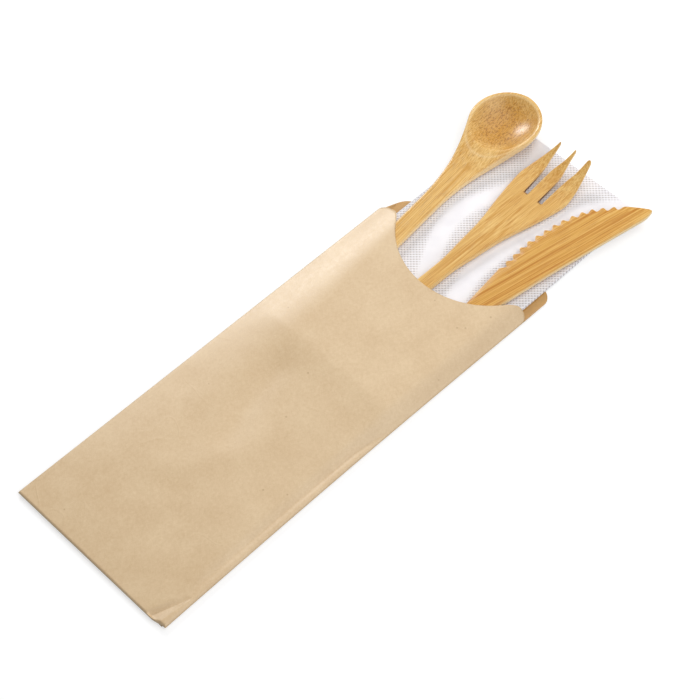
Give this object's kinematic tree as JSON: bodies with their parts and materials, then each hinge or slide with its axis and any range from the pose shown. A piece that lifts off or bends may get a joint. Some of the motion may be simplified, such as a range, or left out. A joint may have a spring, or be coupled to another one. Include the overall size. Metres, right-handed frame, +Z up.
{
  "type": "bamboo cutlery set",
  "caption": "Bamboo spoon, fork and serrated knife on a folded paper napkin, held in a flat kraft paper sleeve with a scooped mouth.",
  "frame": {"origin": "centre of the whole set's footprint, on the surface it lies on", "axes": "+Y along the sleeve towards its mouth and the cutlery's heads, +Z up from the back panel to the front panel, spoon on the -X side"},
  "size_m": [0.1062, 0.3272, 0.0137],
  "materials": {
    "kraft_paper": "uncoated kraft, matt",
    "tissue": "dot embossed, matt",
    "bamboo": "sanded and waxed, satin"
  },
  "bodies": {
    "root": {"paper_sleeve": "kraft_paper", "napkin": "tissue", "spoon": "bamboo", "fork": "bamboo", "knife": "bamboo"}
  },
  "joints": []
}
